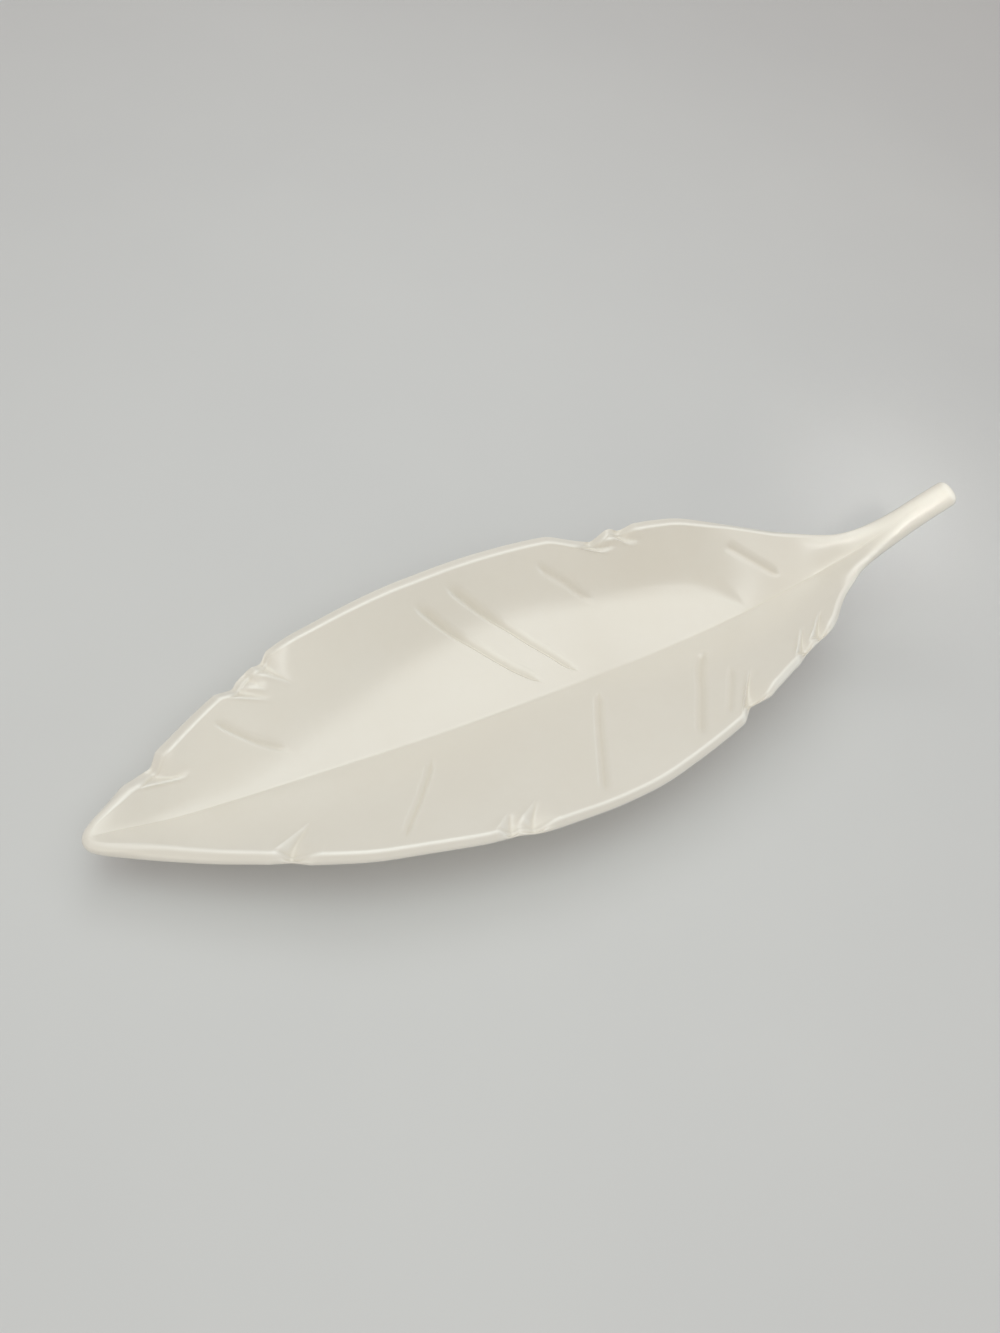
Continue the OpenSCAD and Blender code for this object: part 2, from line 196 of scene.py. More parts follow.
LEAN = {s: lean_table(s) for s in (1, -1)}


def lean(x, side):
    return np.interp(x, *LEAN[side])


def face_z(x, ay, side, under=False):
    """Height of the top or under face over the plan point x, |y|."""
    th, Wd, r = lean(x, side), half(x, side), lip(x)
    s = 1.0 if under else -1.0
    ye = np.maximum(Wd + s * r * np.sin(th), 0.6)
    ze = rim_z(x) - s * r * np.cos(th)
    C = crease_z(x) - (wall_at(x) if under else 0)
    if side < 0:
        Q = ay / ye
        b = bow(x)
        return C + (ze - C) * ((1 - b) * Q + b * Q * np.abs(Q))
    f = floor_w(x) + (1.2 * ease(50, 90, x) * (1 - ease(236, 262, x)) if under else 0)
    f = np.minimum(f, 0.8 * ye)
    k = soft_k(x)
    A = (ze - C - RISE * ye) / (ramp(ye - f, k) - ramp(-f, k))
    return C + RISE * ay + A * (ramp(ay - f, k) - ramp(-f, k))


# cross-sections of the lip in units of its radius, out along the wall and up from it
def lip_shape(side):
    """A tight crest, a flat flank that faces out, and a round lower edge."""
    low, t1, t2 = (0.5, 0.06, 0.43) if side > 0 else (0.80, 0.13, 0.05)
    A = np.radians(68)
    pts = [(0.0, 1.0)]
    pts += [(t1 + 0.45 * np.sin(f), 0.55 + 0.45 * np.cos(f)) for f in A * np.linspace(0, 1, 4)]
    arc = [(t2 + low * np.sin(f), low - 1 + low * np.cos(f)) for f in A + (np.pi - A) * np.linspace(0, 1, 6)]
    for k in (0.35, 0.7):
        pts.append(tuple((1 - k) * np.array(pts[4]) + k * np.array(arc[0])))
    return np.array(pts + arc + [(0.0, -1.0)])


HALF_ROUND = np.radians([0, 12, 26, 42, 58, 70, 80, 90, 105, 120, 135, 150, 166, 180])
NBD = len(HALF_ROUND) - 1
LIP_SINK = np.array([1, 1, 1, 1, 1, 0.8, 0.55, 0.35, 0.2, 0.1, 0.03, 0, 0, 0])


def across(px, py, at, B, side):
    """Oblique coordinates of plan points: along a tear from the rim to its inner end, and along the rim."""
    i = np.argmin(np.abs(TAB[side]["edge"] - at))
    A = (TAB[side]["x"][i], side * TAB[side]["y"][i])
    a = np.array(B) - np.array(A)
    length = np.hypot(*a)
    a = a / length
    t = np.array([TAB[side]["oy"][i], -side * TAB[side]["ox"][i]])
    det = a[0] * t[1] - a[1] * t[0]
    dx, dy = px - A[0], py - A[1]
    return (dx * t[1] - dy * t[0]) / det / length, (a[0] * dy - a[1] * dx) / det, length


def wedge(px, py, at, B, to_tip, to_stem, side, edge, soft):
    """0 away from a tear and about 1 where it meets the rim: two facets that meet in a line."""
    tau, sig, length = across(px, py, at, B, side)
    w = np.where(sig > 0, to_stem, to_tip)
    f = 1 - np.maximum(tau, -1.5 / length) - (np.sqrt(sig * sig + edge * edge) - edge) / w
    F = ramp(f, soft) - soft * 0.2
    return np.maximum(F, 0)


def notch(px, py, at, B, drop, rise, side, edge, soft):
    """A tear: level up to its line, then a steep face and a slope back up; and the ridge along its line."""
    tau, sig, length = across(px, py, at, B, side)
    left = np.clip(1 - tau, 0, 1.3)
    far = sig - drop * left
    f = 1 - np.maximum(tau, -1.5 / length) - (np.sqrt(far * far + edge * edge) - edge) / np.where(far > 0, rise, drop)
    k = np.where(far > 0, soft + 0.16 * ease(0, 2.5, far), soft)
    F = np.maximum(ramp(f, k) - k * 0.2, 0)
    ridge = np.exp(-(np.where(sig > 0, sig / 1.3, sig / 2.3)) ** 2) * np.sqrt(np.clip(left, 0, 1)) * ease(-0.1, 0.25, tau)
    return F, ridge


def vein_depth(px, py, vein):
    """Depth of one incised vein over plan points, in mm: a steep flank to the tip and a long flank to the stem."""
    side, line, w_tip, w_stem, depth, fade_a, fade_b = vein
    K = np.array(line, float)
    c = np.concatenate([[0], np.cumsum(np.hypot(*np.diff(K, axis=0).T))])
    u = np.linspace(0, c[-1], 41)
    pts = np.stack([curve(np.stack([c, K[:, 0]], 1), u), curve(np.stack([c, K[:, 1]], 1), u)], 1)
    seg = np.diff(pts, axis=0)
    ln = np.hypot(seg[:, 0], seg[:, 1])
    run = np.concatenate([[0], np.cumsum(ln)])
    best = np.full(px.shape, 1e9)
    along, turn = np.zeros(px.shape), np.ones(px.shape)
    for i in range(len(seg)):
        dx, dy = px - pts[i, 0], py - pts[i, 1]
        t = np.clip((dx * seg[i, 0] + dy * seg[i, 1]) / ln[i] ** 2, 0, 1)
        D = np.hypot(dx - t * seg[i, 0], dy - t * seg[i, 1])
        k = D < best
        best = np.where(k, D, best)
        along = np.where(k, run[i] + t * ln[i], along)
        turn = np.where(k, side * (seg[i, 0] * dy - seg[i, 1] * dx), turn)
    inner = ease(0, fade_b, run[-1] - along)
    w = np.where(turn > 0, w_stem, w_tip) * (0.35 + 0.65 * inner)
    g = np.clip(1 - (np.sqrt(best * best + 0.03) - 0.17) / w, 0, 1)
    return depth * ease(0, fade_a, along) * inner * np.where(turn > 0, g ** 1.8, g ** 1.5 * (1.5 - 0.5 * g))


def sections():
    """All section loops of the blade, with the depth of its veins and the share of tear at each point."""
    NL, NT, NU = 530, 60, 13
    s = np.linspace(3, XJ, 4001)
    dens = 1 + 1.6 * (1 - ease(6, 20, s)) + 0.6 * ease(164, 170, s) * (1 - ease(198, 204, s)) + 0.25 * ease(212, 220, s) + 0.2 * ease(55, 65, s) * (1 - ease(110, 118, s))
    cum = np.concatenate([[0], np.cumsum((dens[1:] + dens[:-1]) / 2 * np.diff(s))])
    S = np.interp(np.linspace(0, cum[-1], NL), cum, s)
    S[0], S[-1] = 3.0, XJ
    tq = np.linspace(0, 1, NT + 1)
    qt = tq - 0.45 * np.sin(2 * np.pi * tq) / (2 * np.pi)
    uq = np.linspace(0, 1, NU + 1)
    qu = uq - 0.35 * np.sin(2 * np.pi * uq) / (2 * np.pi)
    out = {}
    for side in (1, -1):
        T = TAB[side]
        p = np.interp(S, T["s"], PP)
        p[0], p[-1] = 0, PJ
        rx, ry, ox, oy = (np.interp(p, PP, T[k]) for k in ("x", "y", "ox", "oy"))
        n = np.hypot(ox, oy)
        ox, oy = ox / n, oy / n
        th, r, z = lean(rx, side), lip(np.interp(p, PP, curve(EDGE, PP, 1))), rim_z(rx)
        sn, cs = np.sin(th), np.cos(th)

        def sheet(q, under):
            sg = 1.0 if under else -1.0
            ex, ey, ez = rx + sg * r * sn * ox, ry + sg * r * sn * oy, z - sg * r * cs
            x = S[:, None] + q * (ex - S)[:, None]
            y = q * ey[:, None]
            h = face_z(x, y, side, under)
            h = h + q ** 6 * (ez - face_z(ex, ey, side, under))[:, None]
            h[0] = ez[0]
            return x, y, h

        tx, ty, tz = sheet(qt, False)
        tz = tz + 0.14 * np.exp(-(ty / 0.6) ** 2) * ease(8, 30, S)[:, None]
        if side > 0:
            # the wall turns gently past the end of the floor
            near_rows = np.exp(-((S[:, None] - S) / 7.0) ** 2)
            near_rows = near_rows * np.gradient(S)
            even = near_rows @ tz / near_rows.sum(1)[:, None]
            tz = tz - np.maximum(ramp(tz - even, 0.3) - 0.15, 0) * (ease(236, 252, S) * (1 - ease(274, 290, S)))[:, None] * (1 - qt ** 5)
        bx, by, bz = sheet(qu, True)
        k = (ease(4, 26, rx) * (1 - ease(276, 294, rx)))[:, None]
        shape = lip_shape(side)
        out_t = r[:, None] * (k * shape[:, 0] + (1 - k) * np.sin(HALF_ROUND))
        out_n = r[:, None] * (k * shape[:, 1] + (1 - k) * np.cos(HALF_ROUND))
        a = out_t * cs[:, None] - out_n * sn[:, None]
        b = out_n * cs[:, None] + out_t * sn[:, None]
        gx, gy, gz = rx[:, None] + a * ox[:, None], ry[:, None] + a * oy[:, None], z[:, None] + b
        P = {"top": [tx, ty, tz, qt, 1.0, 0 * tz], "lip": [gx, gy, gz, np.ones(NBD + 1), LIP_SINK, 0 * gz], "under": [bx, by, bz, qu, 0.0, 0 * bz]}
        for v in P.values():
            q = v[3]
            mx = S[:, None] + q * (rx - S)[:, None]
            my = side * q * ry[:, None]
            for sd, at, B, to_tip, to_stem, pull in PULLS:
                if sd == side:
                    F = pull * wedge(mx, my, at, B, to_tip, to_stem, side, 0.9, 0.14)
                    v[0] = v[0] - F * (cs * ox)[:, None]
                    v[1] = v[1] - F * (cs * oy)[:, None]
                    v[2] = v[2] - F * sn[:, None]
            for sd, at, B, drop, rise, dip, crest in TEARS:
                if sd == side:
                    F, ridge = notch(mx, my, at, B, drop * (1 + 0.8 * q ** 8), rise, side, 0.35 + 0.6 * q ** 6, 0.10 + 0.14 * q ** 8)
                    edge_in = np.clip(1 - (1 - q) * np.hypot(rx - S, ry)[:, None] / 6.5, 0, 1) ** 2
                    v[5] = np.maximum(v[5], np.clip(1.7 * F, 0, 1) * (1 - 0.7 * ridge))
                    F = ((dip + 1.3 * edge_in) * F - crest * ridge) * v[4]
                    v[0] = v[0] + F * (sn * ox)[:, None]
                    v[1] = v[1] + F * (sn * oy)[:, None]
                    v[2] = v[2] - F * cs[:, None]
        out[side] = P
    # top sheet as one grid from the near rim to the far rim
    gx = np.concatenate([out[-1]["top"][0][:, :0:-1], out[1]["top"][0]], 1)
    gy = np.concatenate([-out[-1]["top"][1][:, :0:-1], out[1]["top"][1]], 1)
    gz = np.concatenate([out[-1]["top"][2][:, :0:-1], out[1]["top"][2]], 1)
    G = np.stack([gx, gy, gz], -1)
    hollow_depth = np.zeros(gx.shape)
    for v in VEINS:
        hollow_depth = np.maximum(hollow_depth, vein_depth(gx, gy, v))
    du, dv = np.gradient(G, axis=0), np.gradient(G, axis=1)
    N = np.cross(du, dv)
    N = N / np.maximum(np.linalg.norm(N, axis=-1), 1e-9)[..., None]
    N = np.where(N[..., 2:] < 0, -N, N)
    G = G - N * hollow_depth[..., None]
    m = NT
    far = G[:, m:]
    near = G[:, m::-1]
    o1, o2 = out[1], out[-1]
    st = lambda v, sg: np.stack([v[0], sg * v[1], v[2]], -1)
    loop = np.concatenate([
        far,
        st(o1["lip"], 1)[:, 1:],
        st(o1["under"], 1)[:, -2::-1],
        st(o2["under"], -1)[:, 1:],
        st(o2["lip"], -1)[:, -2::-1],
        near[:, -2:0:-1],
    ], 1)
    pl = np.zeros(loop.shape[:2])
    pl[:, :m + 1] = hollow_depth[:, m:]
    pl[:, loop.shape[1] - (m - 1):] = hollow_depth[:, 1:m]
    torn = np.concatenate([o1["top"][5], o1["lip"][5][:, 1:], 0 * o1["under"][5][:, -2::-1], 0 * o2["under"][5][:, 1:], o2["lip"][5][:, -2::-1], o2["top"][5][:, -2:0:-1]], 1)
    counts = (NT, NBD, NU)
    tab = stem_table()
    for i in np.nonzero(S > 280)[0]:
        k = ease(280, XJ, S[i])
        loop[i] = (1 - k) * loop[i] + k * stem_row(tab, S[i], 1.0, 0.0, counts)
    return loop, pl, counts, torn


# place, half width to the lip's centre, lip radius, height of the groove and of the underside, slope of the groove's sides, lean of the underside
STEM = [(300, 7.5, 2.7, -1.7, -6.6, 0.58, 24), (305, 4.85, 3.45, 0.1, -5.9, 0.50, 21), (310, 2.85, 4.25, 1.9, -5.35, 0.38, 14), (316, 1.35, 4.9, 3.6, -5.05, 0.24, 6), (322, 0.65, 5.05, 4.55, -5.1, 0.12, 1), (330, 0.55, 4.95, 4.8, -4.95, 0.03, 1), (341, 0.5, 4.8, 4.8, -4.8, 0.0, 1)]


def stem_table():
    rows = []
    for x in (272.0, 278.0, 284.0, 290.0, 296.0):
        w = (half(x, 1) + half(x, -1)) / 2
        t = (lean(x, 1) + lean(x, -1)) / 2
        rows.append((x, w, lip(x), crease_z(x) - rim_z(x), crease_z(x) - wall_at(x) - rim_z(x), np.tan(t), np.degrees(t)))
    return rows + STEM


def stem_row(tab, u, g, push, counts):
    """One section of the stem: a groove, a bead on each side of it and a round underside, closing to a rod."""
    NT, NBD, NU = counts
    tq = np.linspace(0, 1, NT + 1)
    qt = tq - 0.45 * np.sin(2 * np.pi * tq) / (2 * np.pi)
    uq = np.linspace(0, 1, NU + 1)
    qu = uq - 0.35 * np.sin(2 * np.pi * uq) / (2 * np.pi)
    w0, r, zt, zb, sl, lb = (float(curve(tab, u, c)) for c in range(1, 7))
    lb = np.radians(lb)
    f = np.radians(33) * float(ease(296, 318, u))
    tip = np.arctan(sl)
    turn = -tip + (np.radians(60) + tip) * float(ease(284, 308, u))
    over = -0.7 * float(ease(294, 306, u) * (1 - ease(316, 330, u)))
    line = 0.14 * (1 - float(ease(312, 328, u)))
    halves = []
    for side in (1, -1):
        w = w0 + (float(half(u, side)) - float(half(u, -side))) / 2
        c0 = np.array([side * over, zt])
        c3 = np.array([w + r * np.sin(turn), r * np.cos(turn)])
        d0 = np.array([1, sl]) / np.hypot(1, sl)
        d3 = np.array([-np.cos(turn), np.sin(turn)])
        span = np.hypot(*(c3 - c0))
        c1, c2 = c0 + d0 * span * 0.38, c3 + d3 * span * 0.36
        q = qt[:, None]
        top = (1 - q) ** 3 * c0 + 3 * q * (1 - q) ** 2 * c1 + 3 * q * q * (1 - q) * c2 + q ** 3 * c3
        top[:, 1] += line * np.exp(-((top[:, 0] - c0[0]) / 0.6) ** 2)
        ang = turn + (np.pi - lb - turn) * HALF_ROUND / np.pi
        bead = np.stack([w + r * np.sin(ang), r * np.cos(ang)], 1)
        und = np.stack([qu * (w + r * np.sin(lb)), zb + qu * (-r * np.cos(lb) - zb)], 1)
        halves.append((top, bead, und))
    (top, bead, und), (top2, bead2, und2) = halves
    hf = np.concatenate([top, bead[1:], und[-2::-1]])
    nr = np.concatenate([und2[1:], bead2[-2::-1], top2[-2:0:-1]])
    nr[:, 0] *= -1
    sec = np.concatenate([hf, nr])
    y, zeta = g * sec[:, 0], g * sec[:, 1]
    zc = float(rim_z(u))
    return np.stack([u + push * np.cos(f) - zeta * np.sin(f), y, zc + push * np.sin(f) + zeta * np.cos(f)], 1)


def stem_loops(counts, blade_end):
    tab = stem_table()
    u_end = 338.9
    us = np.concatenate([np.linspace(XJ, 318, 36), np.linspace(318, u_end, 29)[1:]])
    seq = [(u, 1.0, 0.0) for u in us]
    for a in np.radians(np.linspace(0, 90, 11)[1:]):
        seq.append((u_end, 1 - 2.6 / 5.3 * (1 - np.cos(a)), 2.6 * np.sin(a)))
    g0 = seq[-1][1]
    for k in (0.8, 0.6, 0.4, 0.2, 0.08):
        seq.append((u_end, g0 * k, 2.6 + 0.35 * (1 - k * k)))
    loops = np.array([stem_row(tab, u, g, push, counts) for u, g, push in seq])
    loops[0] = blade_end
    return loops


def set_over(P):
    """The stem stands a little to the near side of the midrib."""
    P = P.copy()
    x = P[..., 0]
    P[..., 1] -= 0.35 * ease(276, 298, x) * (1 - ease(318, 334, x))
    return P


# ---------------------------------------------------------------- meshes
def ring_quads(n, m):
    i, j = np.meshgrid(np.arange(n - 1), np.arange(m), indexing="ij")
    return np.stack([i * m + j, (i + 1) * m + j, (i + 1) * m + (j + 1) % m, i * m + (j + 1) % m], -1).reshape(-1, 4)


def vertex_normals(V, Q):
    n = np.cross(V[Q[:, 2]] - V[Q[:, 0]], V[Q[:, 3]] - V[Q[:, 1]])
    N = np.zeros_like(V)
    for k in range(4):
        np.add.at(N, Q[:, k], n)
    return N / np.maximum(np.linalg.norm(N, axis=1), 1e-12)[:, None]


def make_object(name, V, faces, values=None, normals=None):
    """A closed smooth-shaded mesh from points in leaf mm."""
    P = (np.asarray(V) - np.array([X_MID, 0, 0])) / 1000
    me = bpy.data.meshes.new(name)
    me.from_pydata(P.tolist(), [], faces)
    me.update()
    me.polygons.foreach_set("use_smooth", np.ones(len(me.polygons), bool))
    for key, val in (values or {}).items():
        a = me.attributes.new(key, "FLOAT", "POINT")
        a.data.foreach_set("value", np.asarray(val, np.float32))
    if normals is not None:
        me.normals_split_custom_set_from_vertices(np.asarray(normals).tolist())
    ob = bpy.data.objects.new(name, me)
    bpy.context.scene.collection.objects.link(ob)
    return ob


def weld(V, faces):
    """Joins points that fall together and drops the faces that vanish."""
    key = np.round(V * 1e4).astype(np.int64)
    _, first, inv = np.unique(key, axis=0, return_index=True, return_inverse=True)
    inv = inv.reshape(-1)
    out = []
    for f in faces:
        g = []
        for v in f:
            w = int(inv[v])
            if w not in g:
                g.append(w)
        if len(g) > 2:
            out.append(g)
    return first, out


blade, hollow_depth, counts, torn = sections()
stem = set_over(stem_loops(counts, blade[-1]))
blade = set_over(blade)
n, m = blade.shape[:2]
ns = stem.shape[0]

# normals over blade and stem together, so that no seam shows where they meet
both = np.concatenate([blade, stem[1:]]).reshape(-1, 3)
smooth = vertex_normals(both, ring_quads(n + ns - 1, m)).reshape(-1, m, 3)



def bend(P, N):
    """Curvature of the surface in 1/mm: above 0 on an edge, below 0 in a hollow."""
    out = np.zeros(P.shape[:2])
    a, b = np.roll(P, 1, 1) - P, np.roll(P, -1, 1) - P
    ha, hb = (np.maximum(np.linalg.norm(v, axis=-1), 0.05) for v in (a, b))
    out -= ((a / ha[..., None] + b / hb[..., None]) * N).sum(-1) * 2 / (ha + hb)
    a, b = P[:-2] - P[1:-1], P[2:] - P[1:-1]
    ha, hb = (np.maximum(np.linalg.norm(v, axis=-1), 0.05) for v in (a, b))
    out[1:-1] -= ((a / ha[..., None] + b / hb[..., None]) * N[1:-1]).sum(-1) * 2 / (ha + hb)
    return out


# painted highlight and painted shade: the glaze colour is lighter over convex edges (painted highlight, partly thin
# glaze) and darker in the hollows (painted shade, partly glaze pooling)
grid = both.reshape(-1, m, 3)
out_n = smooth * np.where(smooth[:, :1, 2:] < 0, -1, 1)
curl = bend(grid, out_n)
for _ in range(2):
    curl = 0.5 * curl + 0.25 * (np.roll(curl, 1, 1) + np.roll(curl, -1, 1))
edge_highlight_and_thin_glaze = np.clip((curl - 0.15) * 1.5, 0, 1)
# no painted edge highlight on the faces of the tears
edge_highlight_and_thin_glaze[:len(torn)] *= 1 - torn
hollow_shade_and_pooling = np.clip(-curl * 1.5, 0, 1)

V = blade.reshape(-1, 3)
faces = ring_quads(n, m).tolist() + [[(n - 1) * m + j for j in range(m)]]
keep, faces = weld(V, faces)
NT, NBD, NU = counts
nv = np.zeros((n, m, 3))
nv[-1] = smooth[n - 1]
# painted shade for the blade: darker glaze colour in the hollows and veins, partly glaze pooling; painted highlight on
# its edges
blade_shade_and_pooling = np.maximum(hollow_shade_and_pooling[:n], np.clip(hollow_depth, 0, 1) * 0.6)
leaf_blade = make_object("glazed_leaf", V[keep], faces, {"hollow_depth": blade_shade_and_pooling.reshape(-1)[keep], "edge": edge_highlight_and_thin_glaze[:n].reshape(-1)[keep]}, nv.reshape(-1, 3)[keep])

V = stem.reshape(-1, 3)
faces = ring_quads(ns, m).tolist() + [[j for j in range(m - 1, -1, -1)], [(ns - 1) * m + j for j in range(m)]]
keep, faces = weld(V, faces)
nv = np.zeros((ns, m, 3))
nv[0] = smooth[n - 1]
# the stem gets the same painted shade in its hollows and painted highlight on its edges
leaf_stem = make_object("glazed_stem", V[keep], faces, {"hollow_depth": hollow_shade_and_pooling[n - 1:].reshape(-1)[keep], "edge": edge_highlight_and_thin_glaze[n - 1:].reshape(-1)[keep]}, nv.reshape(-1, 3)[keep])


def under_z(x, y):
    return np.where(y >= 0, face_z(x, np.abs(y), 1, True), face_z(x, np.abs(y), -1, True))


def foot_mesh():
    """The oval foot: a ground flat face, rounded edges, and a slip fillet where it is stuck to the blade."""
    N = 220
    t = np.linspace(0, 2 * np.pi, N, endpoint=False)
    cx, cy, ax, ay = 145.0, 2.0, 65.5, 19.5
    px, py = cx + ax * np.cos(t), cy + ay * np.sin(t)
    tx, ty = -ax * np.sin(t), ay * np.cos(t)
    ln = np.hypot(tx, ty)
    ox, oy = ty / ln, -tx / ln
    prof = []
    for r in np.linspace(-1.7, 1.7, 7):
        prof.append((r, 0.0, 0))
    for a in np.radians(np.linspace(15, 90, 6)):
        prof.append((1.7 + 0.8 * np.sin(a), 0.8 * (1 - np.cos(a)), 0))
    for k in (0.25, 0.5, 0.75):
        prof.append((2.5 + 0.12 * k, k, 1))
    for a in np.radians(np.linspace(0, 80, 7)):
        prof.append((2.62 + 1.8 * (1 - np.cos(a)), -1.8 * (1 - np.sin(a)), 2))
    prof.append((4.6, 0.7, 2))
    for r in (2.5, 0.0, -2.5):
        prof.append((r, 1.3, 2))
    prof.append((-4.6, 0.7, 2))
    for a in np.radians(np.linspace(80, 0, 7)):
        prof.append((-2.62 - 1.8 * (1 - np.cos(a)), -1.8 * (1 - np.sin(a)), 2))
    for k in (0.75, 0.5, 0.25):
        prof.append((-2.5 - 0.12 * k, k, 1))
    for a in np.radians(np.linspace(90, 15, 6)):
        prof.append((-1.7 - 0.8 * np.sin(a), 0.8 * (1 - np.cos(a)), 0))
    M = len(prof)
    P = np.zeros((N, M, 3))
    for j, (r, h, kind) in enumerate(prof):
        x, y = px + r * ox, py + r * oy
        if kind == 0:
            z = np.full(N, h)
        elif kind == 1:
            w = np.sign(r) * 2.62
            top = under_z(px + w * ox, py + w * oy) - 1.8
            z = 0.8 + h * (top - 0.8)
        else:
            z = under_z(x, y) + h
        P[:, j] = np.stack([x, y, z], 1)
    i, j = np.meshgrid(np.arange(N), np.arange(M), indexing="ij")
    Q = np.stack([i * M + j, i * M + (j + 1) % M, ((i + 1) % N) * M + (j + 1) % M, ((i + 1) % N) * M + j], -1).reshape(-1, 4)
    return P.reshape(-1, 3), Q[:, ::-1].tolist()


FV, FF = foot_mesh()
foot = make_object("foot", FV, FF)


# ---------------------------------------------------------------- materials
def shader(name):
    mat = bpy.data.materials.new(name)
    mat.use_nodes = True
    nt = mat.node_tree
    return mat, nt, nt.nodes["Principled BSDF"]


def node(nt, kind, **sets):
    nd = nt.nodes.new(kind)
    for k, v in sets.items():
        if hasattr(nd, k):
            setattr(nd, k, v)
        else:
            nd.inputs[k.replace("_", " ")].default_value = v
    return nd


def mix_rgb(nt, fac, a, b):
    nd = nt.nodes.new("ShaderNodeMix")
    nd.data_type = "RGBA"
    for key, val in (("Factor", fac), ("A", a), ("B", b)):
        socks = [s for s in nd.inputs if s.name == key and (s.type == "RGBA" or key == "Factor" and s.type == "VALUE")]
        if isinstance(val, bpy.types.NodeSocket):
            nt.links.new(val, socks[0])
        else:
            socks[0].default_value = val
    return [s for s in nd.outputs if s.type == "RGBA"][0]


def scaled(nt, sock, lo, hi, to_lo, to_hi):
    nd = node(nt, "ShaderNodeMapRange")
    nt.links.new(sock, nd.inputs["Value"])
    for k, v in (("From Min", lo), ("From Max", hi), ("To Min", to_lo), ("To Max", to_hi)):
        nd.inputs[k].default_value = v
    return nd.outputs["Result"]


def noise(nt, coord, scale, detail=3.0, rough=0.5):
    nd = node(nt, "ShaderNodeTexNoise", Scale=scale, Detail=detail, Roughness=rough)
    nt.links.new(coord, nd.inputs["Vector"])
    return nd.outputs["Fac"]


def glaze_material():
    mat, nt, bsdf = shader("satin_glaze")
    obj = node(nt, "ShaderNodeTexCoord").outputs["Object"]
    cloud = noise(nt, obj, 26, 3, 0.55)
    fine = noise(nt, obj, 210, 2, 0.5)
    tint = mix_rgb(nt, scaled(nt, cloud, 0.3, 0.7, 0, 1), (0.810, 0.762, 0.672, 1), (0.825, 0.782, 0.700, 1))
    tint = mix_rgb(nt, scaled(nt, fine, 0.35, 0.75, 0, 0.35), tint, (0.800, 0.750, 0.660, 1))
    # painted shade: the glaze colour turns darker and warmer in the hollows and veins, partly glaze pooling
    at = node(nt, "ShaderNodeAttribute", attribute_name="hollow_depth")
    tint = mix_rgb(nt, scaled(nt, at.outputs["Fac"], 0.05, 0.9, 0, 0.6), tint, (0.770, 0.712, 0.600, 1))
    # painted highlight: the glaze colour turns lighter over convex edges and crests, partly thin glaze
    edge_highlight_attr = node(nt, "ShaderNodeAttribute", attribute_name="edge")
    tint = mix_rgb(nt, scaled(nt, edge_highlight_attr.outputs["Fac"], 0.0, 1.0, 0, 0.85), tint, (0.920, 0.890, 0.815, 1))
    nt.links.new(tint, bsdf.inputs["Base Color"])
    nt.links.new(scaled(nt, noise(nt, obj, 60, 3, 0.6), 0.3, 0.7, 0.38, 0.48), bsdf.inputs["Roughness"])
    peel = noise(nt, obj, 520, 2, 0.5)
    wave = noise(nt, obj, 70, 2, 0.5)
    b1 = node(nt, "ShaderNodeBump", Strength=0.10, Distance=0.0004)
    nt.links.new(wave, b1.inputs["Height"])
    b2 = node(nt, "ShaderNodeBump", Strength=0.10, Distance=0.0001)
    nt.links.new(peel, b2.inputs["Height"])
    nt.links.new(b1.outputs["Normal"], b2.inputs["Normal"])
    nt.links.new(b2.outputs["Normal"], bsdf.inputs["Normal"])
    bsdf.inputs["IOR"].default_value = 1.5
    bsdf.inputs["Coat Weight"].default_value = 1.0
    bsdf.inputs["Coat Roughness"].default_value = 0.22
    bsdf.inputs["Coat IOR"].default_value = 1.5
    bsdf.inputs["Subsurface Weight"].default_value = 0.0
    return mat


def foot_material():
    mat, nt, bsdf = shader("foot_glaze_and_bisque")
    tc = node(nt, "ShaderNodeTexCoord").outputs["Object"]
    sep = node(nt, "ShaderNodeSeparateXYZ")
    nt.links.new(tc, sep.inputs[0])
    wob = noise(nt, tc, 180, 3, 0.6)
    edge = node(nt, "ShaderNodeMath", operation="MULTIPLY_ADD")
    nt.links.new(wob, edge.inputs[0])
    edge.inputs[1].default_value = -0.0009
    nt.links.new(sep.outputs["Z"], edge.inputs[2])
    fac = scaled(nt, edge.outputs[0], 0.0004, 0.0007, 1, 0)
    grit = noise(nt, tc, 900, 4, 0.7)
    clay = mix_rgb(nt, scaled(nt, grit, 0.35, 0.7, 0, 1), (0.58, 0.52, 0.43, 1), (0.72, 0.67, 0.58, 1))
    cloud = noise(nt, tc, 26, 3, 0.55)
    glz = mix_rgb(nt, scaled(nt, cloud, 0.3, 0.7, 0, 1), (0.810, 0.762, 0.672, 1), (0.825, 0.782, 0.700, 1))
    nt.links.new(mix_rgb(nt, fac, glz, clay), bsdf.inputs["Base Color"])
    nt.links.new(scaled(nt, fac, 0, 1, 0.36, 0.85), bsdf.inputs["Roughness"])
    bump = node(nt, "ShaderNodeBump", Strength=0.35, Distance=0.00025)
    nt.links.new(grit, bump.inputs["Height"])
    nt.links.new(bump.outputs["Normal"], bsdf.inputs["Normal"])
    return mat


def floor_material():
    mat, nt, bsdf = shader("pale_floor")
    tc = node(nt, "ShaderNodeTexCoord").outputs["Object"]
    n1 = noise(nt, tc, 3, 4, 0.6)
    nt.links.new(mix_rgb(nt, scaled(nt, n1, 0.3, 0.7, 0, 1), (0.64, 0.64, 0.635, 1), (0.67, 0.67, 0.66, 1)), bsdf.inputs["Base Color"])
    bsdf.inputs["Roughness"].default_value = 0.85
    return mat


GLAZE = glaze_material()
for ob, nodes, slot, mat in ((leaf_blade, "leaf_blade", "glaze", GLAZE), (leaf_stem, "stem", "glaze", GLAZE), (foot, "foot_ring", "bisque", foot_material())):
    ob.data.materials.append(mat)
    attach(ob, "root")
    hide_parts(nodes)

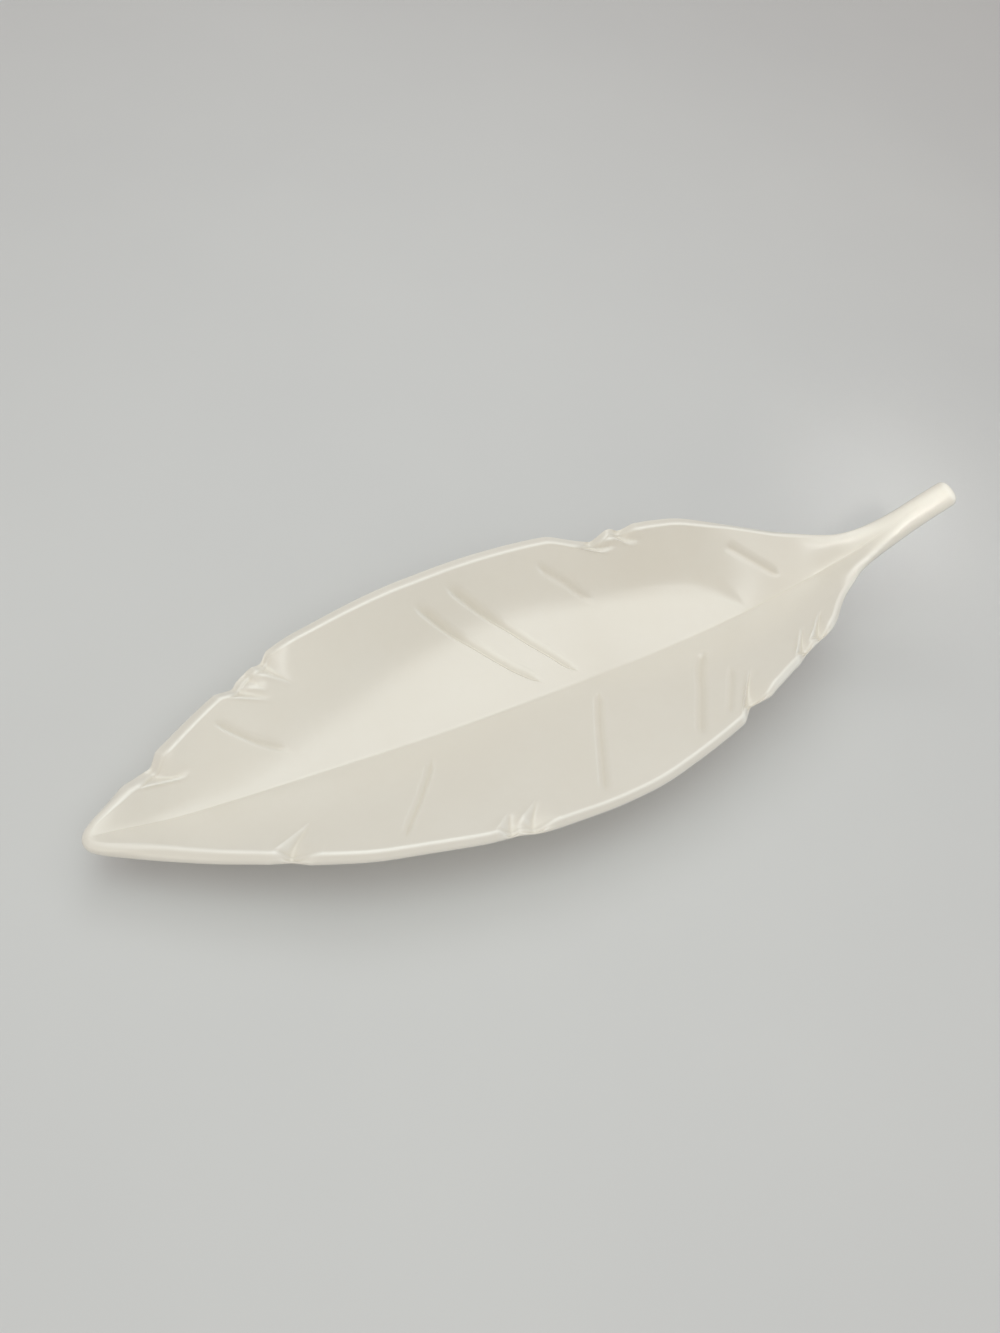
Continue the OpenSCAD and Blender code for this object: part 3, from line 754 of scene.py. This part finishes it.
# ---------------------------------------------------------------- floor, light, camera
ground = bpy.data.meshes.new("floor")
ground.from_pydata([(-20, -20, 0), (20, -20, 0), (20, 20, 0), (-20, 20, 0)], [], [[0, 1, 2, 3]])
floor = bpy.data.objects.new("floor", ground)
floor.data.materials.append(floor_material())
bpy.context.scene.collection.objects.link(floor)

world = bpy.data.worlds.new("studio")
bpy.context.scene.world = world
world.use_nodes = True
wt = world.node_tree
sky = node(wt, "ShaderNodeSeparateXYZ")
wt.links.new(node(wt, "ShaderNodeTexCoord").outputs["Generated"], sky.inputs[0])
wt.links.new(mix_rgb(wt, scaled(wt, sky.outputs["Z"], 0.0, 0.45, 0, 1), (0.54, 0.535, 0.53, 1), (0.315, 0.295, 0.29, 1)), wt.nodes["Background"].inputs["Color"])
wt.nodes["Background"].inputs["Strength"].default_value = 1.0


def area(name, at, to, size, watts, colour=(1, 1, 1)):
    d = bpy.data.lights.new(name, "AREA")
    d.shape = "RECTANGLE"
    d.size, d.size_y = size
    d.energy = watts
    d.color = colour
    ob = bpy.data.objects.new(name, d)
    ob.location = at
    ob.rotation_euler = (Vector(to) - Vector(at)).to_track_quat("-Z", "Y").to_euler()
    ob.visible_camera = False
    bpy.context.scene.collection.objects.link(ob)
    return ob


top = bpy.data.lights.new("overhead", "SUN")
top.energy = 0.88
top.angle = 1.5
top.color = (1.0, 0.995, 0.97)
bpy.context.scene.collection.objects.link(bpy.data.objects.new("overhead", top))
area("over_stem", (0.10, 0.0, 0.60), (0.10, 0, 0.02), (0.3, 0.3), 0.17, (0.93, 1.0, 0.97))
kick = area("stem_side", (0.02, -0.16, 0.36), (0.172, 0, 0.07), (0.06, 0.06), 0.004, (1.0, 0.99, 0.93))
kick.data.spread = 0.30
area("over_back", (0.10, 0.35, 0.60), (0.10, 0, 0.02), (0.3, 0.3), 0.44, (0.93, 1.0, 1.0))
area("over_front", (-0.15, -0.35, 0.60), (-0.15, 0, 0.02), (0.3, 0.3), 0.32, (0.90, 0.97, 1.0))
area("over_tip", (-0.15, 0.0, 0.60), (-0.15, 0, 0.02), (0.3, 0.3), 0.46, (0.85, 1.0, 0.96))
low_l = area("low_left", (-1.08, -0.62, 0.36), (0, 0, 0.02), (0.6, 0.5), 0.14, (1.0, 0.92, 0.76))
low_r = area("low_right", (1.08, -0.62, 0.36), (0, 0, 0.02), (0.6, 0.5), 0.12, (0.74, 0.92, 1.0))
low_l.data.spread = low_r.data.spread = 0.9

cam_data = bpy.data.cameras.new("camera")
cam_data.sensor_fit = "HORIZONTAL"
cam_data.sensor_width = 36.0
cam_data.lens = 37.44
cam_data.clip_start = 0.01
cam = bpy.data.objects.new("camera", cam_data)
right = Vector((0.88766717, -0.43236879, 0.15844314))
up = Vector((0.29757683, 0.80118903, 0.51917643))
back = Vector((-0.35141859, -0.41370686, 0.83985213))
cam.matrix_world = Matrix.Translation((-0.15320, -0.14841, 0.34689)) @ Matrix((right, up, back)).transposed().to_4x4()
bpy.context.scene.collection.objects.link(cam)
bpy.context.scene.camera = cam
bpy.context.scene.view_settings.view_transform = "Standard"

bpy.context.view_layer.update()
